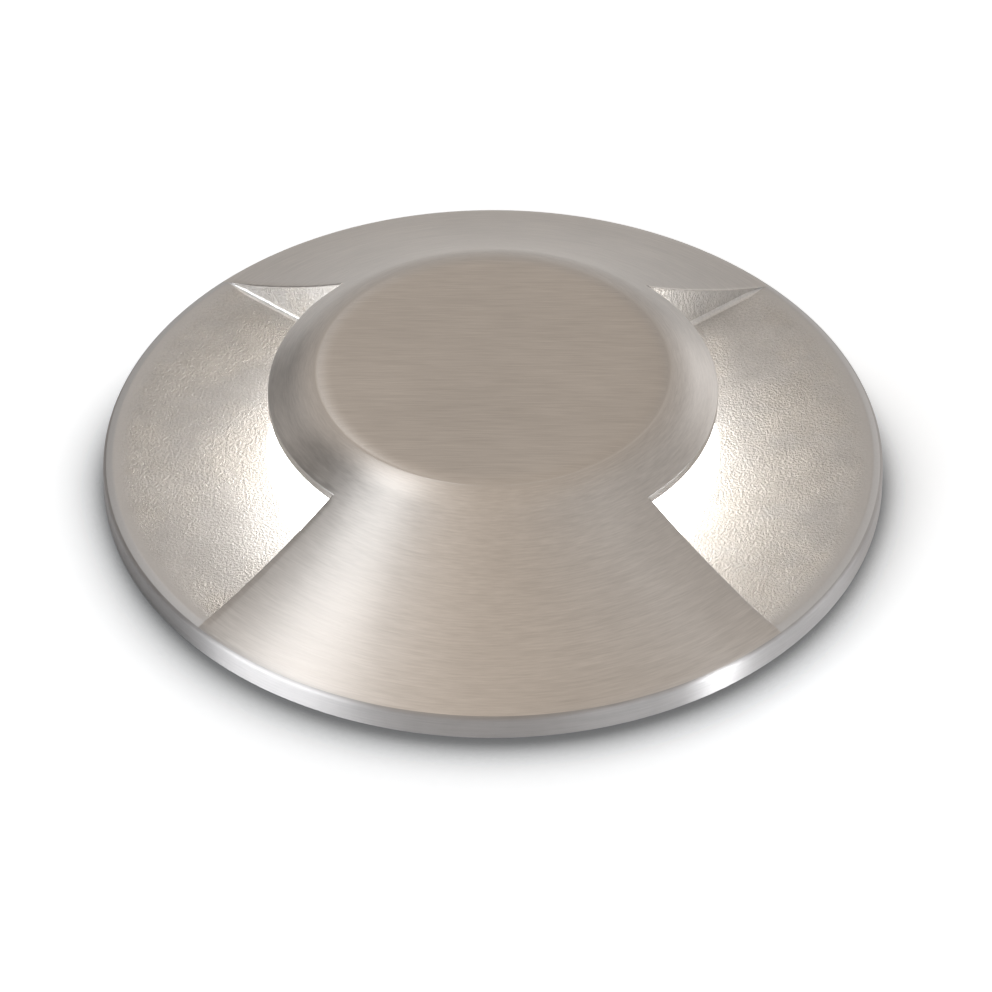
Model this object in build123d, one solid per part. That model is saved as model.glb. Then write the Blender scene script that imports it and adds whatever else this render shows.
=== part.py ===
# Two-way in-ground marker light: cast cover, opal diffuser, lamp housing and installation sleeve.
# Millimetres. Origin on the axis at ground level, which is the underside of the cover's rim. +Z is up.
# The two windows face +X and -X.
import math
import os

from build123d import *

# Cover, outside
cover_radius = 55.0
rim_corner_height = 3.8
rim_round = 0.4
cap_corner_radius = 26.0
cap_height = 19.4
cap_blend = 11.0
flank_dip = 1.1

# Cover, window recesses
recess_floor_height = 4.35
recess_half_angle = 38.6
recess_apex_offset = 6.9
eave_radius = 31.5
eave_thickness = 1.3

# Cover, inside and skirt
cover_bore_radius = 27.5
skirt_outer_radius = 41.0
skirt_inner_radius = 36.4
skirt_depth = 10.0
skirt_chamfer = 0.8
seat_depth = 0.6
seat_margin = 0.5

# Diffuser
window_set = 0.15
window_lean = 1.1
window_clearance = 0.3
diffuser_wall = 2.2
flange_clearance = 0.4
diffuser_flange_thickness = 2.5

# Seals
gasket_thickness = 1.5
gasket_margin = 0.3
seal_ring_section = 0.75
seal_clearance = 0.1
grip_ring_section = 1.5
grip_ring_seat = 0.05

# Housing
thread_clearance = 0.25
neck_wall = 3.2
shoulder_gap = 0.3
land_radius = 40.6
land_height = 9.5
groove_depth = 1.8
groove_slack = 0.2
housing_depth = 60.0
housing_floor = 4.0
housing_edge_chamfer = 1.5
core_radius = 36.8
fin_count = 20
fin_thickness = 2.0
fin_reach = 3.4

# Carrier and its bosses
carrier_drop = 5.0
carrier_thickness = 3.0
carrier_clearance = 0.4
boss_count = 3
first_screw_angle = 90.0
boss_circle_radius = 29.0
boss_radius = 4.4
wire_hole_radius = 3.0
wire_hole_place = 23.5

# Light source
pad_thickness = 0.5
led_board_radius = 20.0
led_board_thickness = 1.6
emitter_count = 8
emitter_circle_radius = 12.0
emitter_side = 3.0
emitter_height = 0.7
board_screw_count = 3
board_screw_circle = 17.0

# Reflector
reflector_rim_radius = 22.0
reflector_stem_radius = 4.5
reflector_wall = 1.2
reflector_gap = 1.2

# Screws
screw_radius = 1.25
screw_head_radius = 2.4
screw_head_height = 1.8
screw_socket_radius = 1.1
screw_socket_depth = 1.0
screw_length = 8.0
screw_clearance = 0.05
screw_hole_spare = 1.0

# Driver
driver_length = 40.0
driver_width = 32.0
driver_thickness = 1.6
standoff_height = 12.0
standoff_radius = 2.6
standoff_inset = 3.5
choke_side = 12.0
choke_height = 8.0
choke_corner = 2.0
choke_place = (-10.0, -2.0)
capacitor_radius = 4.0
capacitor_height = 14.0
capacitor_places = [(9.0, 2.0), (9.0, -7.0)]
chip_sizes = [(4.0, 4.0, 1.5), (5.0, 4.0, 2.0), (6.5, 6.0, 2.3)]
chip_places = [(0.0, -3.0), (-10.0, 11.0), (10.5, 11.0)]

# Terminal block
terminal_length = 11.0
terminal_width = 9.0
terminal_height = 10.0
terminal_pitch = 5.0
terminal_entry_radius = 1.6
terminal_screw_radius = 1.5
terminal_screw_depth = 4.0
terminal_screw_sink = 1.0
terminal_slot_width = 0.6
terminal_slot_depth = 0.8
terminal_web = 1.0
terminal_place = (0.0, 10.5)

# Leads from the driver to the light source
lead_radius = 0.6
lead_spacing = 2.2
lead_start = -14.0
lead_end = -17.5
lead_seat = 0.05
lead_bend = 4.0
lead_top_bend = 2.5
lead_rise = 18.0
lead_shift_rise = 9.0

# Cable gland
gland_thread_radius = 7.8
gland_thread_clearance = 0.2
gland_thread_inside = 3.0
gland_flats = 20.0
gland_washer_thickness = 1.2
gland_washer_overlap = 2.4
gland_hex_height = 5.0
gland_neck_length = 8.0
gland_nut_gap = 1.8
gland_nut_height = 11.0
gland_nut_wall = 2.0
gland_nut_chamfer = 1.5
gland_wall = 2.4
cable_radius = 4.0
insert_clearance = 0.05
insert_length = 10.0
insert_lip = 2.4
nut_mouth_margin = 0.6

# Sleeve
sleeve_skirt_gap = 1.0
sleeve_land_gap = 1.4
sleeve_wall = 3.0
sleeve_depth = 95.0
sleeve_lead_in = 1.2
sleeve_lip_height = 3.0
sleeve_lip_width = 4.0
anchor_groove_count = 3
anchor_groove_depth = 0.8
anchor_groove_width = 3.0
anchor_groove_pitch = 10.0
anchor_groove_start = 45.0
cable_notch_width = 14.0
cable_notch_height = 18.0

# Heights that follow from the sizes above
gasket_bottom = -gasket_thickness
flange_bottom = gasket_bottom - diffuser_flange_thickness
neck_top = flange_bottom
skirt_bottom = -skirt_depth
shoulder_top = skirt_bottom - shoulder_gap
housing_bottom = -housing_depth
cavity_floor = housing_bottom + housing_floor
carrier_bottom = neck_top - carrier_drop
carrier_top = carrier_bottom + carrier_thickness
pad_top = carrier_top + pad_thickness
led_board_top = pad_top + led_board_thickness
driver_bottom = cavity_floor + standoff_height
driver_top = driver_bottom + driver_thickness
terminal_top = driver_top + terminal_height
sleeve_bottom = -sleeve_depth

# Radii that follow from the sizes above
window_foot_radius = eave_radius + window_set
diffuser_flange_radius = skirt_inner_radius - flange_clearance
sleeve_inner_radius = max(skirt_outer_radius + sleeve_skirt_gap, land_radius + sleeve_land_gap)
sleeve_outer_radius = sleeve_inner_radius + sleeve_wall
neck_radius = skirt_inner_radius - thread_clearance
cavity_radius = neck_radius - neck_wall
land_groove_radius = land_radius - groove_depth
groove_width = 2 * grip_ring_section + 2 * groove_slack

# Places of the driver's corner fixings
fixing_x = driver_length / 2 - standoff_inset
fixing_y = driver_width / 2 - standoff_inset
driver_fixings = [(x, y) for x in (-fixing_x, fixing_x) for y in (-fixing_y, fixing_y)]


def disc(radius, bottom, top):
    """Solid cylinder on the axis between two heights."""
    return Pos(0, 0, bottom) * Cylinder(radius, top - bottom, align=(Align.CENTER, Align.CENTER, Align.MIN))


def tube(inner, outer, bottom, top):
    """Ring on the axis between two radii and two heights."""
    return disc(outer, bottom, top) - disc(inner, bottom, top)


def block(size_x, size_y, bottom, top):
    """Upright block centred on the axis between two heights."""
    return Pos(0, 0, bottom) * Box(size_x, size_y, top - bottom, align=(Align.CENTER, Align.CENTER, Align.MIN))


def turned(points):
    """Solid of revolution from (radius, height) points."""
    return revolve(Plane.XZ * make_face(Polyline(*points, close=True)), Axis.Z)


def prism(sketch, bottom, top):
    """Flat sketch raised between two heights."""
    return extrude(Pos(0, 0, bottom) * sketch, amount=top - bottom, dir=(0, 0, 1))


def circle_places(count, radius):
    """Evenly spaced (x, y) places on a circle."""
    angles = [math.radians(first_screw_angle + 360.0 * step / count) for step in range(count)]
    return [(radius * math.cos(angle), radius * math.sin(angle)) for angle in angles]


def ring_seal(radius, section, height):
    """O-ring round the axis."""
    return Pos(0, 0, height) * Torus(radius, section)


def screw(length):
    """Socket-head screw with its head's underside at the origin and its shank downwards."""
    body = disc(screw_head_radius, 0, screw_head_height) + disc(screw_radius, -length, 0)
    socket = extrude(
        Pos(0, 0, screw_head_height) * RegularPolygon(screw_socket_radius, 6),
        amount=-screw_socket_depth,
    )
    return body - socket


def placed(solid, places, height=0.0):
    """Group of copies of one solid."""
    return Compound([Pos(x, y, height) * solid for x, y in places])


def holes(places, radius, bottom, top):
    """Round holes through a plate, as solids to subtract."""
    return [Pos(x, y, 0) * disc(radius, bottom, top) for x, y in places]


# The flank is a shallow hollow arc from the rim's corner up to the cap's corner
flank_run = cap_corner_radius - cover_radius
flank_rise = cap_height - rim_corner_height
flank_chord = math.hypot(flank_run, flank_rise)
flank_radius = flank_chord**2 / (8 * flank_dip) + flank_dip / 2
flank_normal = Vector(flank_rise / flank_chord, -flank_run / flank_chord)
flank_middle = Vector(
    (cover_radius + cap_corner_radius) / 2,
    (rim_corner_height + cap_height) / 2,
)
flank_centre = flank_middle + flank_normal * (flank_radius - flank_dip)


def flank_height(radius):
    """Height of the flank at a distance from the axis."""
    return flank_centre.Y - math.sqrt(flank_radius**2 - (radius - flank_centre.X) ** 2)


eave_underside = flank_height(eave_radius) - eave_thickness
window_slot_radius = window_foot_radius + window_clearance
diffuser_top = eave_underside - window_clearance
diffuser_bore_radius = cover_bore_radius - window_clearance - diffuser_wall


def recess_plan(inset=0.0):
    """Both wedge-shaped recesses in plan, with their side walls moved inwards by inset."""
    half_angle = math.radians(recess_half_angle)
    apex = inset / math.sin(half_angle) - recess_apex_offset
    reach = 2 * cover_radius
    corner = (apex + reach * math.cos(half_angle), reach * math.sin(half_angle))
    wedge = make_face(Polyline((apex, 0), corner, (corner[0], -corner[1]), close=True))
    clipped = (wedge & Circle(2 * cover_radius)) - Pos(-cover_radius, 0) * Rectangle(2 * cover_radius, reach)
    return clipped + Rot(0, 0, 180) * clipped


def make_top_cover():
    """Cast cover: turned outside, two recesses with window slots, and the threaded skirt below."""
    rim_corner = (cover_radius, rim_corner_height)
    cap_corner = (cap_corner_radius, cap_height)
    flank_point = flank_middle - flank_normal * flank_dip
    outline = [
        Line((0, 0), (cover_radius, 0)),
        Line((cover_radius, 0), rim_corner),
        ThreePointArc(rim_corner, (flank_point.X, flank_point.Y), cap_corner),
        Line(cap_corner, (0, cap_height)),
        Line((0, cap_height), (0, 0)),
    ]
    profile = make_face(outline)
    profile = fillet(profile.vertices().sort_by_distance((*rim_corner, 0))[0], rim_round)
    profile = fillet(profile.vertices().sort_by_distance((*cap_corner, 0))[0], cap_blend)
    cover = revolve(Plane.XZ * profile, Axis.Z)
    cover -= prism(recess_plan() - Circle(eave_radius), recess_floor_height, cap_height)
    cover -= prism(recess_plan() & Circle(window_slot_radius), 0, eave_underside)
    cover -= disc(cover_bore_radius, 0, eave_underside)
    cover -= tube(skirt_outer_radius, sleeve_outer_radius + seat_margin, 0, seat_depth)
    skirt = turned([
        (skirt_inner_radius, 0),
        (skirt_outer_radius, 0),
        (skirt_outer_radius, skirt_bottom + skirt_chamfer),
        (skirt_outer_radius - skirt_chamfer, skirt_bottom),
        (skirt_inner_radius + skirt_chamfer, skirt_bottom),
        (skirt_inner_radius, skirt_bottom + skirt_chamfer),
    ])
    return cover + skirt


def make_cover_gasket():
    """Flat seal between the cover's ledge and the diffuser's flange."""
    return tube(
        window_slot_radius + gasket_margin,
        skirt_inner_radius - gasket_margin,
        gasket_bottom,
        0,
    )


def diffuser_form(offset):
    """Cup and two window bays of the diffuser, taken in by a wall thickness; open below the flange."""
    foot = window_foot_radius - offset
    top = diffuser_top - offset
    bays = turned([
        (0, flange_bottom),
        (foot, flange_bottom),
        (foot, recess_floor_height),
        (foot - window_lean, top),
        (0, top),
    ])
    bays &= prism(recess_plan(window_clearance + offset), flange_bottom, top)
    return bays + disc(diffuser_bore_radius + diffuser_wall - offset, flange_bottom, top)


def make_light_diffuser():
    """Opal moulding: sealing flange, central cup and two window bays, all of one wall."""
    flange = disc(diffuser_flange_radius, flange_bottom, gasket_bottom)
    return flange + diffuser_form(0) - diffuser_form(diffuser_wall)


def grip_heights():
    """Middle heights of the two grip rings, each in the middle of its land."""
    return (shoulder_top - land_height / 2, housing_bottom + land_height / 2)


def make_housing():
    """Die-cast lamp body: threaded neck, two grooved lands, cooling fins and carrier bosses."""
    upper_land_bottom = shoulder_top - land_height
    lower_land_top = housing_bottom + land_height
    body = turned([
        (0, housing_bottom),
        (land_radius - housing_edge_chamfer, housing_bottom),
        (land_radius, housing_bottom + housing_edge_chamfer),
        (land_radius, lower_land_top),
        (core_radius, lower_land_top),
        (core_radius, upper_land_bottom),
        (land_radius, upper_land_bottom),
        (land_radius, shoulder_top),
        (neck_radius, shoulder_top),
        (neck_radius, neck_top),
        (0, neck_top),
    ])
    fin_middle = core_radius + fin_reach / 2
    fin = Pos(fin_middle, 0) * Rectangle(2 * fin_reach, fin_thickness) & Circle(core_radius + fin_reach)
    fins = [Rot(0, 0, 360.0 * step / fin_count) * fin for step in range(fin_count)]
    body += [prism(one, lower_land_top, upper_land_bottom) for one in fins]
    for height in grip_heights():
        low = height - groove_width / 2
        body -= tube(land_groove_radius, land_radius + groove_depth, low, low + groove_width)
    cavity = disc(cavity_radius, cavity_floor, neck_top)
    bosses = circle_places(boss_count, boss_circle_radius)
    cavity -= [Pos(x, y, 0) * disc(boss_radius, cavity_floor, carrier_bottom) for x, y in bosses]
    body -= cavity
    hole_bottom = carrier_top - screw_length - screw_hole_spare
    body -= holes(bosses, screw_radius + screw_clearance, hole_bottom, carrier_bottom)
    seal_groove = seal_ring_section + seal_clearance
    body -= tube(
        seal_ring_radius() - seal_groove,
        seal_ring_radius() + seal_groove,
        neck_top - 2 * seal_groove,
        neck_top,
    )
    gland_hole = gland_thread_radius + gland_thread_clearance
    return body - disc(gland_hole, housing_bottom, cavity_floor)


def seal_ring_radius():
    """The seal ring lies in the middle of the neck's wall."""
    return neck_radius - neck_wall / 2


def make_housing_seal_ring():
    """O-ring in the top of the neck, just under the diffuser's flange."""
    return ring_seal(seal_ring_radius(), seal_ring_section, neck_top - seal_ring_section - seal_clearance)


def make_grip_ring(height):
    """Rubber ring in a land's groove that grips the sleeve's bore."""
    return ring_seal(land_groove_radius + grip_ring_section + grip_ring_seat, grip_ring_section, height)


def make_led_carrier():
    """Heat-spreading plate on the housing's bosses, with a hole for the leads."""
    plate = disc(cavity_radius - carrier_clearance, carrier_bottom, carrier_top)
    hole = screw_radius + screw_clearance
    plate -= holes(circle_places(boss_count, boss_circle_radius), hole, carrier_bottom, carrier_top)
    plate -= holes(circle_places(board_screw_count, board_screw_circle), hole, carrier_bottom, carrier_top)
    plate -= holes([(0, 0)], hole, carrier_bottom, carrier_top)
    return plate - holes([(0, -wire_hole_place)], wire_hole_radius, carrier_bottom, carrier_top)


def source_disc(bottom, top):
    """Round layer of the light source with its screw holes."""
    hole = screw_radius + screw_clearance
    layer = disc(led_board_radius, bottom, top)
    layer -= holes(circle_places(board_screw_count, board_screw_circle), hole, bottom, top)
    return layer - holes([(0, 0)], hole, bottom, top)


def make_led_emitters():
    """Light-emitting packages in a ring on the board."""
    chip = block(emitter_side, emitter_side, led_board_top, led_board_top + emitter_height)
    return Compound([
        Rot(0, 0, 360.0 * (step + 0.5) / emitter_count) * Pos(emitter_circle_radius, 0, 0) * chip
        for step in range(emitter_count)
    ])


def make_reflector_trumpet():
    """Flared reflector on the board: light from below leaves sideways towards the windows."""
    top = diffuser_top - diffuser_wall - reflector_gap
    foot = led_board_top
    stem = (reflector_stem_radius, foot + reflector_wall)
    rim = (reflector_rim_radius, top)
    flare = ThreePointArc(
        stem,
        (
            stem[0] + (rim[0] - stem[0]) * (1 - math.cos(math.radians(45))),
            stem[1] + (rim[1] - stem[1]) * math.sin(math.radians(45)),
        ),
        rim,
    )
    inner_rim = (reflector_rim_radius, top + reflector_wall / 2)
    inner_stem = (reflector_stem_radius - reflector_wall, stem[1] + reflector_wall)
    inner_flare = ThreePointArc(
        inner_rim,
        (
            inner_stem[0] + (inner_rim[0] - inner_stem[0]) * (1 - math.cos(math.radians(45))),
            inner_stem[1] + (inner_rim[1] - inner_stem[1]) * math.sin(math.radians(45)),
        ),
        inner_stem,
    )
    hole = screw_radius + screw_clearance
    outline = [
        Line((hole, foot), (reflector_stem_radius, foot)),
        Line((reflector_stem_radius, foot), stem),
        flare,
        Line(rim, inner_rim),
        inner_flare,
        Line(inner_stem, (hole, inner_stem[1])),
        Line((hole, inner_stem[1]), (hole, foot)),
    ]
    return revolve(Plane.XZ * make_face(outline), Axis.Z)


def make_lead(side):
    """Insulated lead from the driver up through the carrier and onto the light source's board."""
    x = side * lead_spacing
    start = driver_top
    end = led_board_top + lead_radius + lead_seat
    corner_low = start + lead_rise
    corner_high = corner_low + lead_shift_rise
    path = FilletPolyline(
        (x, lead_start, start),
        (x, lead_start, corner_low),
        (x, -wire_hole_place, corner_high),
        (x, -wire_hole_place, end),
        (x, lead_end, end),
        radius=[lead_bend, lead_bend, lead_top_bend],
    )
    return sweep(Plane((x, lead_start, start), z_dir=(0, 0, 1)) * Circle(lead_radius), path=path)


def make_driver_board():
    """Driver's circuit board on four standoffs."""
    board = block(driver_length, driver_width, driver_bottom, driver_top)
    return board - holes(driver_fixings, screw_radius + screw_clearance, driver_bottom, driver_top)


def make_driver_choke():
    """Shielded choke."""
    plan = Pos(*choke_place) * RectangleRounded(choke_side, choke_side, choke_corner)
    return prism(plan, driver_top, driver_top + choke_height)


def make_driver_capacitors():
    """Pair of capacitors standing on the driver."""
    return placed(disc(capacitor_radius, 0, capacitor_height), capacitor_places, driver_top)


def make_driver_chips():
    """Controller, rectifier and switch."""
    return Compound([
        Pos(*place, driver_top) * block(size[0], size[1], 0, size[2])
        for size, place in zip(chip_sizes, chip_places)
    ])


def make_driver_standoffs():
    """Pillars between the housing's floor and the driver."""
    pillar = disc(standoff_radius, cavity_floor, driver_bottom)
    hole_bottom = driver_top - screw_length - screw_hole_spare
    pillar -= disc(screw_radius + screw_clearance, hole_bottom, driver_bottom)
    return placed(pillar, driver_fixings)


def terminal_poles():
    """Places of the terminal block's two poles."""
    x, y = terminal_place
    return [(x - terminal_pitch / 2, y), (x + terminal_pitch / 2, y)]


def make_terminal_block():
    """Two-pole terminal block with wire entries facing outwards and screws on top."""
    body = Pos(*terminal_place, 0) * block(terminal_length, terminal_width, driver_top, terminal_top)
    entry = Rot(-90, 0, 0) * disc(terminal_entry_radius, 0, terminal_width / 2)
    well_bottom = terminal_top - terminal_screw_depth
    entry_height = well_bottom - terminal_web - terminal_entry_radius
    body -= [Pos(x, y, entry_height) * entry for x, y in terminal_poles()]
    return body - holes(terminal_poles(), terminal_screw_radius + screw_clearance, well_bottom, terminal_top)


def make_terminal_screws():
    """Clamp screws in the terminal block's wells."""
    top = terminal_top - terminal_screw_sink
    clamp = disc(terminal_screw_radius, terminal_top - terminal_screw_depth, top)
    slot = block(2 * terminal_screw_radius, terminal_slot_width, top - terminal_slot_depth, top)
    return placed(clamp - slot, terminal_poles())


# Heights down the cable gland, from the housing's underside
gland_washer_bottom = housing_bottom - gland_washer_thickness
gland_hex_bottom = gland_washer_bottom - gland_hex_height
gland_neck_bottom = gland_hex_bottom - gland_neck_length
gland_bore_radius = gland_thread_radius - gland_wall
gland_nut_top = gland_hex_bottom - gland_nut_gap
gland_nut_bottom = gland_nut_top - gland_nut_height


def make_gland_washer():
    """Sealing washer under the gland's hexagon."""
    hole = gland_thread_radius + gland_thread_clearance
    return tube(hole, hole + gland_washer_overlap, gland_washer_bottom, housing_bottom)


def make_gland_body():
    """Gland body: thread into the housing, hexagon and lower thread for the nut."""
    hexagon = prism(RegularPolygon(gland_flats / 2, 6, major_radius=False), gland_hex_bottom, gland_washer_bottom)
    shank = disc(gland_thread_radius, gland_neck_bottom, cavity_floor + gland_thread_inside)
    return hexagon + shank - disc(gland_bore_radius, gland_neck_bottom, cavity_floor + gland_thread_inside)


def make_gland_insert():
    """Rubber insert that seals round the cable, with a lip under the gland body."""
    sleeve_radius = gland_bore_radius - insert_clearance
    bottom = gland_neck_bottom - insert_lip
    return turned([
        (cable_radius, bottom),
        (gland_thread_radius - gland_wall / 2, bottom),
        (gland_thread_radius - gland_wall / 2, gland_neck_bottom),
        (sleeve_radius, gland_neck_bottom),
        (sleeve_radius, gland_neck_bottom + insert_length),
        (cable_radius, gland_neck_bottom + insert_length),
    ])


def make_gland_nut():
    """Cap nut that squeezes the insert round the cable."""
    flats = prism(RegularPolygon(gland_flats / 2, 6, major_radius=False), gland_nut_bottom, gland_nut_top)
    reach = gland_flats / math.sqrt(3)
    dome = turned([
        (0, gland_nut_bottom),
        (reach - 2 * gland_nut_chamfer, gland_nut_bottom),
        (reach, gland_nut_bottom + 2 * gland_nut_chamfer),
        (reach, gland_nut_top),
        (0, gland_nut_top),
    ])
    nut = flats & dome
    thread = gland_thread_radius + gland_thread_clearance
    nut -= disc(thread, gland_nut_bottom + gland_nut_wall, gland_nut_top)
    return nut - disc(cable_radius + nut_mouth_margin, gland_nut_bottom, gland_nut_top)


def make_mounting_sleeve():
    """Installation sleeve: open tube with a lead-in, a bottom lip, anchor grooves and cable notches."""
    lip_radius = sleeve_inner_radius - sleeve_lip_width
    lip_top = sleeve_bottom + sleeve_lip_height
    sleeve = turned([
        (lip_radius, sleeve_bottom),
        (sleeve_outer_radius, sleeve_bottom),
        (sleeve_outer_radius, 0),
        (sleeve_outer_radius - seat_depth, seat_depth),
        (sleeve_inner_radius + sleeve_lead_in, seat_depth),
        (sleeve_inner_radius, seat_depth - sleeve_lead_in),
        (sleeve_inner_radius, lip_top),
        (lip_radius, lip_top),
    ])
    for step in range(anchor_groove_count):
        top = -anchor_groove_start - step * anchor_groove_pitch
        floor_radius = sleeve_outer_radius - anchor_groove_depth
        sleeve -= tube(floor_radius, sleeve_outer_radius + sleeve_wall, top - anchor_groove_width, top)
    arch = cable_notch_height - cable_notch_width / 2
    notch = Pos(0, sleeve_bottom + arch / 2) * Rectangle(cable_notch_width, arch)
    notch += Pos(0, sleeve_bottom + arch) * Circle(cable_notch_width / 2)
    return sleeve - extrude(Plane.XZ * notch, amount=2 * sleeve_outer_radius, both=True)


screw_on_carrier = circle_places(boss_count, boss_circle_radius)
screw_on_board = circle_places(board_screw_count, board_screw_circle)
upper_grip, lower_grip = grip_heights()
reflector_seat = led_board_top + 2 * reflector_wall

pieces = {
    "top_cover": make_top_cover(),
    "cover_gasket": make_cover_gasket(),
    "light_diffuser": make_light_diffuser(),
    "housing": make_housing(),
    "housing_seal_ring": make_housing_seal_ring(),
    "grip_ring_upper": make_grip_ring(upper_grip),
    "grip_ring_lower": make_grip_ring(lower_grip),
    "led_carrier": make_led_carrier(),
    "carrier_screws": placed(screw(screw_length), screw_on_carrier, carrier_top),
    "thermal_pad": source_disc(carrier_top, pad_top),
    "led_board": source_disc(pad_top, led_board_top),
    "led_emitters": make_led_emitters(),
    "board_screws": placed(screw(led_board_top - carrier_bottom), screw_on_board, led_board_top),
    "reflector_trumpet": make_reflector_trumpet(),
    "reflector_screw": Pos(0, 0, reflector_seat) * screw(reflector_seat - carrier_bottom),
    "led_lead_positive": make_lead(1),
    "led_lead_negative": make_lead(-1),
    "driver_board": make_driver_board(),
    "driver_choke": make_driver_choke(),
    "driver_capacitors": make_driver_capacitors(),
    "driver_chips": make_driver_chips(),
    "driver_standoffs": make_driver_standoffs(),
    "driver_screws": placed(screw(screw_length), driver_fixings, driver_top),
    "terminal_block": make_terminal_block(),
    "terminal_screws": make_terminal_screws(),
    "gland_washer": make_gland_washer(),
    "gland_body": make_gland_body(),
    "gland_insert": make_gland_insert(),
    "gland_nut": make_gland_nut(),
    "mounting_sleeve": make_mounting_sleeve(),
}

os.makedirs("parts", exist_ok=True)
for name, piece in pieces.items():
    export_step(piece, os.path.join("parts", f"{name}.step"))
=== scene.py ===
import math

import bmesh
import bpy
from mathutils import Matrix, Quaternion, Vector, noise


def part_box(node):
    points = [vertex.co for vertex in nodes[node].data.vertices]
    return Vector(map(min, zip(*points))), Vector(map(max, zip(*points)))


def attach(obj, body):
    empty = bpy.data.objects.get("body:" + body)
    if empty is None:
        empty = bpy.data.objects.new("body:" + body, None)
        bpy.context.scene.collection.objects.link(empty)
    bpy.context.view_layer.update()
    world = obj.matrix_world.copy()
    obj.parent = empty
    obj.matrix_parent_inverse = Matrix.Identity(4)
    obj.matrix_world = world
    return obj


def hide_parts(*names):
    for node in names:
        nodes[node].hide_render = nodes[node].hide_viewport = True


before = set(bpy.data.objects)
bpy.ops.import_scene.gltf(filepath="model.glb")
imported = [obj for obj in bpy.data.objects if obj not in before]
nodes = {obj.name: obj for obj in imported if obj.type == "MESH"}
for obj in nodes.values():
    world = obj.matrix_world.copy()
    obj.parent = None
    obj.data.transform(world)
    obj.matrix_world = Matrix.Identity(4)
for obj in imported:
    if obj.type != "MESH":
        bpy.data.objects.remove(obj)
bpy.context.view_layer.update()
scene = bpy.context.scene
mm = 0.001
fullTurn = 2 * math.pi
hair, close = 0.001, 0.01  # mm, places nearer than this count as the same
weld = 0.002 * mm  # corners nearer than this become one
print("frame loaded:", len(nodes), "nodes")


# Node helpers for the finishes

def newFinish(name, colour, metallic=0.0, roughness=0.5):
    finish = bpy.data.materials.new(name)
    finish.use_nodes = True
    shader = finish.node_tree.nodes["Principled BSDF"]
    shader.inputs["Base Color"].default_value = (*colour, 1)
    shader.inputs["Metallic"].default_value = metallic
    shader.inputs["Roughness"].default_value = roughness
    return finish, finish.node_tree, shader


def addNode(tree, kind, **settings):
    node = tree.nodes.new(kind)
    for key, value in settings.items():
        setattr(node, key, value)
    return node


def feed(tree, socket, value):  # links a socket, or sets a plain value
    if isinstance(value, bpy.types.NodeSocket):
        tree.links.new(value, socket)
    else:
        socket.default_value = value


def sums(tree, operation, first, second=0.5, third=0.5):
    node = addNode(tree, "ShaderNodeMath", operation=operation)
    for socket, value in zip(node.inputs, (first, second, third)):
        feed(tree, socket, value)
    return node.outputs[0]


def vectors(tree, operation, first, second=None):
    node = addNode(tree, "ShaderNodeVectorMath", operation=operation)
    feed(tree, node.inputs[0], first)
    if second is not None:
        feed(tree, node.inputs["Scale" if operation == "SCALE" else 1], second)
    return node.outputs["Value" if operation == "LENGTH" else "Vector"]


def remap(tree, value, low, high, newLow=0.0, newHigh=1.0, smooth=False):
    node = addNode(tree, "ShaderNodeMapRange", interpolation_type="SMOOTHSTEP" if smooth else "LINEAR")
    for socket, number in zip(node.inputs[:5], (value, low, high, newLow, newHigh)):
        feed(tree, socket, number)
    return node.outputs[0]


def blendOf(tree, kind, factor, first, second):
    node = addNode(tree, "ShaderNodeMix", data_type=kind)
    place = {"FLOAT": (2, 3, 0), "VECTOR": (4, 5, 1), "RGBA": (6, 7, 2)}[kind]
    feed(tree, node.inputs[0], factor)
    feed(tree, node.inputs[place[0]], first)
    feed(tree, node.inputs[place[1]], second)
    return node.outputs[place[2]]


def grain(tree, vector, scale, detail=3.0, rough=0.6):
    node = addNode(tree, "ShaderNodeTexNoise")
    feed(tree, node.inputs["Vector"], vector)
    node.inputs["Scale"].default_value = scale
    node.inputs["Detail"].default_value = detail
    node.inputs["Roughness"].default_value = rough
    return node.outputs["Fac"]


# A grain's usual span, reach to either side of a half, becomes middle, less or more amount
def varied(tree, value, middle, amount, reach=0.2):
    return remap(tree, value, 0.5 - reach, 0.5 + reach, middle - amount, middle + amount)


def objectPlace(tree):
    return addNode(tree, "ShaderNodeTexCoord").outputs["Object"]


def awayFromAxis(tree, place):
    return vectors(tree, "MULTIPLY", place, (1, 1, 0))


def splitXyz(tree, vector):
    node = addNode(tree, "ShaderNodeSeparateXYZ")
    feed(tree, node.inputs[0], vector)
    return node.outputs


def joinXyz(tree, *values):
    node = addNode(tree, "ShaderNodeCombineXYZ")
    for socket, value in zip(node.inputs, values):
        feed(tree, socket, value)
    return node.outputs[0]


def raised(tree, shader, height, strength, distance):
    node = addNode(tree, "ShaderNodeBump")
    node.inputs["Strength"].default_value = strength
    node.inputs["Distance"].default_value = distance
    feed(tree, node.inputs["Height"], height)
    feed(tree, shader.inputs["Normal"], node.outputs["Normal"])


# Mesh helpers

def polar(radius, height, angle=0.0):
    return Vector((radius * math.cos(angle), radius * math.sin(angle), height)) * mm


def spread(low, high, count):  # count values from low to high, low left out
    return [low + (high - low) * step / count for step in range(1, count + 1)]


def arcPoints(centre, radius, angles):  # angles from straight up
    return [(centre[0] + radius * math.sin(angle), centre[1] + radius * math.cos(angle))
            for angle in angles]


def spinStrip(bm, outline, start, steps, zone, sweep=fullTurn):
    corners = [bm.verts.new(polar(radius, height, start)) for radius, height in outline]
    edges = [bm.edges.new(pair) for pair in zip(corners, corners[1:])]
    known = set(bm.faces)
    bmesh.ops.spin(bm, geom=corners + edges, cent=(0, 0, 0), axis=(0, 0, 1), angle=sweep, steps=steps,
                   use_merge=sweep == fullTurn)
    for face in set(bm.faces) - known:
        face.material_index = zone


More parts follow.
